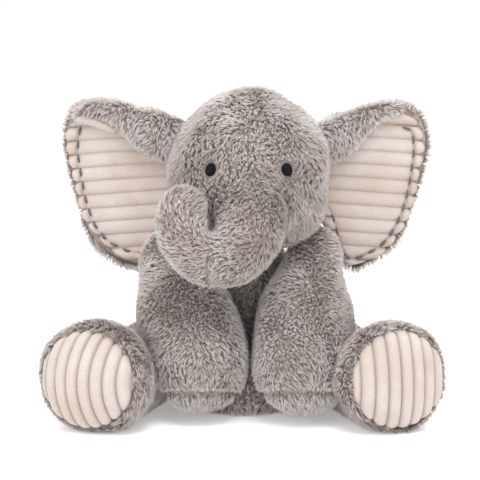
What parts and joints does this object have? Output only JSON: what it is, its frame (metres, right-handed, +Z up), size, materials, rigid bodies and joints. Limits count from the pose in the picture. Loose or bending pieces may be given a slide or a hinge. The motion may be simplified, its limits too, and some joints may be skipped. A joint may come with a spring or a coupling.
{
  "type": "plush elephant",
  "caption": "Seated plush elephant with long soft fur, ribbed ear linings and foot pads, a curled trunk and stuffed limbs that turn where they are sewn on.",
  "frame": {"origin": "on the floor under the middle of the seated toy", "axes": "+Z up; the toy faces -Y; +X is the toy's own left side"},
  "size_m": [0.2818, 0.2215, 0.232],
  "materials": {
    "fur": "long pile plush, taupe grey",
    "rib": "soft ribbed plush, cream",
    "fill": "loose white fibre",
    "pellets": "cotton pouch",
    "thread": "matte thread",
    "eye": "satin embroidery",
    "label": "woven satin, blank"
  },
  "bodies": {
    "torso": {"torso_cover": "fur", "torso_stuffing": "fill", "pellet_bag": "pellets", "back_seam_thread": "thread", "care_label": "label"},
    "neck": {"neck_tube": "fur"},
    "head": {"head_cover": "fur", "head_stuffing": "fill", "left_eye": "eye", "right_eye": "eye", "trunk_base_cover": "fur", "trunk_base_stuffing": "fill"},
    "trunk_mid": {"trunk_mid_cover": "fur", "trunk_mid_stuffing": "fill"},
    "trunk_tip": {"trunk_tip_cover": "fur", "trunk_tip_stuffing": "fill"},
    "left_ear": {"left_ear_back": "fur", "left_ear_wadding": "fill", "left_ear_lining": "rib", "left_ear_stitching": "thread"},
    "left_arm": {"left_arm_cover": "fur", "left_arm_stuffing": "fill", "left_arm_sole": "fur"},
    "left_leg": {"left_leg_cover": "fur", "left_leg_stuffing": "fill", "left_foot_pad": "rib"},
    "right_ear": {"right_ear_back": "fur", "right_ear_wadding": "fill", "right_ear_lining": "rib", "right_ear_stitching": "thread"},
    "right_arm": {"right_arm_cover": "fur", "right_arm_stuffing": "fill", "right_arm_sole": "fur"},
    "right_leg": {"right_leg_cover": "fur", "right_leg_stuffing": "fill", "right_foot_pad": "rib"},
    "tail": {"tail_cord": "fur", "tail_tuft": "fur"}
  },
  "joints": [
    {"name": "neck_turn", "type": "hinge", "parent": "torso", "child": "neck", "pos_m": [0.002, 0.013, 0.106], "axis": [0, 0, 1], "range_deg": [-8, 8]},
    {"name": "neck_nod", "type": "hinge", "parent": "neck", "child": "head", "pos_m": [0.002, 0.013, 0.106], "axis": [-1, 0, 0], "range_deg": [-8, 12]},
    {"name": "trunk_curl", "type": "hinge", "parent": "head", "child": "trunk_mid", "pos_m": [-0.00315, -0.08994, 0.12856], "axis": [0, 1, 0], "range_deg": [-12, 4], "stiffness_Nm_per_rad": 0.06},
    {"name": "trunk_tip_curl", "type": "hinge", "parent": "trunk_mid", "child": "trunk_tip", "pos_m": [-0.03841, -0.09187, 0.12969], "axis": [0, 1, 0], "range_deg": [-15, 6], "stiffness_Nm_per_rad": 0.04},
    {"name": "left_ear_flap", "type": "hinge", "parent": "head", "child": "left_ear", "pos_m": [0.06, 0.009, 0.16], "axis": [0, 0, -1], "range_deg": [-8, 8], "stiffness_Nm_per_rad": 0.05},
    {"name": "right_ear_flap", "type": "hinge", "parent": "head", "child": "right_ear", "pos_m": [-0.054, 0.009, 0.16], "axis": [0, 0, 1], "range_deg": [-8, 8], "stiffness_Nm_per_rad": 0.05},
    {"name": "left_arm_raise", "type": "hinge", "parent": "torso", "child": "left_arm", "pos_m": [0.05, -0.009, 0.101], "axis": [-1, 0, 0], "range_deg": [0, 30]},
    {"name": "right_arm_raise", "type": "hinge", "parent": "torso", "child": "right_arm", "pos_m": [-0.05, -0.009, 0.101], "axis": [-1, 0, 0], "range_deg": [0, 30]},
    {"name": "left_leg_splay", "type": "hinge", "parent": "torso", "child": "left_leg", "pos_m": [0.0695, 0.021, 0.029], "axis": [0, 0, 1], "range_deg": [0, 25]},
    {"name": "right_leg_splay", "type": "hinge", "parent": "torso", "child": "right_leg", "pos_m": [-0.0695, 0.021, 0.029], "axis": [0, 0, -1], "range_deg": [0, 25]},
    {"name": "tail_swing", "type": "hinge", "parent": "torso", "child": "tail", "pos_m": [0, 0.0795, 0.04], "axis": [0, 0, 1], "range_deg": [-20, 20], "stiffness_Nm_per_rad": 0.01}
  ]
}
